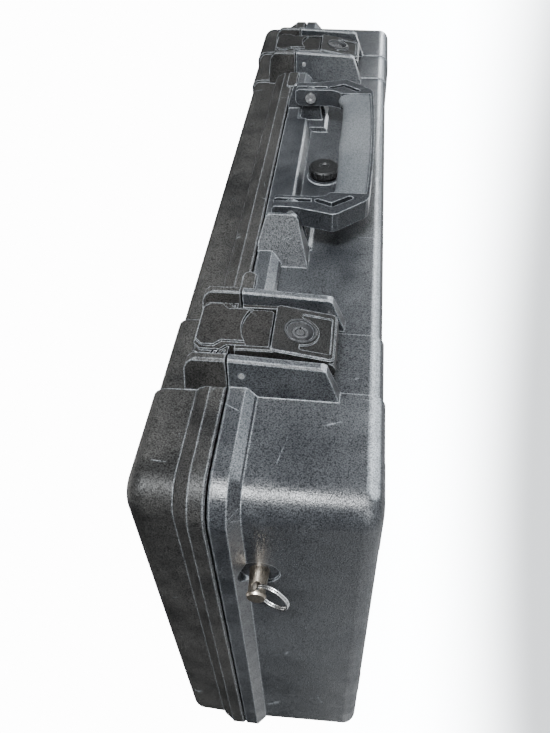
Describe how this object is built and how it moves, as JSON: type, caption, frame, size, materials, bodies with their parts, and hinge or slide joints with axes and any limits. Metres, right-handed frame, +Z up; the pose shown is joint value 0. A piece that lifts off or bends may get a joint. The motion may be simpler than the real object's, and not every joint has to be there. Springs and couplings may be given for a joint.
{
  "type": "fishing rod case",
  "caption": "Hard-shell fishing rod case: deep moulded base and hinged lid with a sealed rim, keyed press latches, folding grip handle, vent valve, tether ring and slotted foam.",
  "frame": {"origin": "middle of the base's resting face, under the centre of the case", "axes": "+X along the case's length; -Y towards the handle and latches, +Y towards the hinges; +Z up from the base through the lid"},
  "size_m": [0.8315, 0.4915, 0.176],
  "materials": {
    "shell_base": "satin",
    "shell_lid": "satin",
    "seal_rubber": "matte",
    "foam": "matte",
    "handle_plastic": "satin",
    "grip_rubber": "matte",
    "valve_plastic": "satin",
    "post_steel": "satin",
    "ring_steel": "satin",
    "pin_steel": "satin",
    "latch_plastic": "satin",
    "trigger_plastic": "satin",
    "bezel_black": "gloss",
    "plug_black": "satin"
  },
  "bodies": {
    "case_base": {"base_shell": "shell_base", "rim_seal": "seal_rubber", "base_foam": "foam", "hinge_pin_left": "pin_steel", "hinge_pin_right": "pin_steel", "latch_pin_left": "pin_steel", "latch_pin_right": "pin_steel", "guard_plugs": "pin_steel", "handle_pin_left": "pin_steel", "handle_pin_right": "pin_steel", "valve_body": "valve_plastic", "valve_seal": "seal_rubber", "valve_nut": "valve_plastic", "ring_post": "post_steel", "post_washer": "pin_steel", "post_nut": "pin_steel"},
    "lid": {"lid_shell": "shell_lid", "lid_foam": "foam"},
    "latch_left": {"latch_body_left": "latch_plastic", "trigger_pin_left": "pin_steel", "trigger_spring_left": "pin_steel", "lock_bezel_left": "bezel_black", "lock_nut_left": "pin_steel"},
    "trigger_left": {"latch_trigger_left": "trigger_plastic"},
    "lock_left": {"lock_plug_left": "plug_black", "lock_cam_left": "pin_steel"},
    "latch_right": {"latch_body_right": "latch_plastic", "trigger_pin_right": "pin_steel", "trigger_spring_right": "pin_steel", "lock_bezel_right": "bezel_black", "lock_nut_right": "pin_steel"},
    "trigger_right": {"latch_trigger_right": "trigger_plastic"},
    "lock_right": {"lock_plug_right": "plug_black", "lock_cam_right": "pin_steel"},
    "handle": {"handle_frame": "handle_plastic", "handle_grip": "grip_rubber"},
    "vent_knob": {"valve_cap": "valve_plastic"},
    "ring": {"split_ring": "ring_steel"}
  },
  "joints": [
    {"name": "lid_hinge", "type": "hinge", "parent": "case_base", "child": "lid", "pos_m": [0, 0.2295, 0.117], "axis": [-1, 0, 0], "range_deg": [0, 100]},
    {"name": "latch_left_swing", "type": "hinge", "parent": "case_base", "child": "latch_left", "pos_m": [-0.262, -0.2265, 0.048], "axis": [1, 0, 0], "range_deg": [0, 90]},
    {"name": "trigger_left_press", "type": "hinge", "parent": "latch_left", "child": "trigger_left", "pos_m": [-0.262, -0.234, 0.1065], "axis": [1, 0, 0], "range_deg": [0, 11], "stiffness_Nm_per_rad": 0.05},
    {"name": "lock_left_turn", "type": "hinge", "parent": "latch_left", "child": "lock_left", "pos_m": [-0.262, -0.24141, 0.06783], "axis": [0, -0.9836, -0.1805], "range_deg": [0, 90]},
    {"name": "latch_right_swing", "type": "hinge", "parent": "case_base", "child": "latch_right", "pos_m": [0.262, -0.2265, 0.048], "axis": [1, 0, 0], "range_deg": [0, 90]},
    {"name": "trigger_right_press", "type": "hinge", "parent": "latch_right", "child": "trigger_right", "pos_m": [0.262, -0.234, 0.1065], "axis": [1, 0, 0], "range_deg": [0, 11], "stiffness_Nm_per_rad": 0.05},
    {"name": "lock_right_turn", "type": "hinge", "parent": "latch_right", "child": "lock_right", "pos_m": [0.262, -0.24141, 0.06783], "axis": [0, -0.9836, -0.1805], "range_deg": [0, 90]},
    {"name": "handle_fold", "type": "hinge", "parent": "case_base", "child": "handle", "pos_m": [0, -0.2465, 0.089], "axis": [-1, 0, 0], "range_deg": [0, 90]},
    {"name": "vent_turn", "type": "hinge", "parent": "case_base", "child": "vent_knob", "pos_m": [0, -0.2195, 0.067], "axis": [0, -1, 0], "range_deg": [0, 90]},
    {"name": "ring_swing", "type": "hinge", "parent": "case_base", "child": "ring", "pos_m": [-0.4125, -0.128, 0.0865], "axis": [0, 1, 0], "range_deg": [0, 120]}
  ]
}
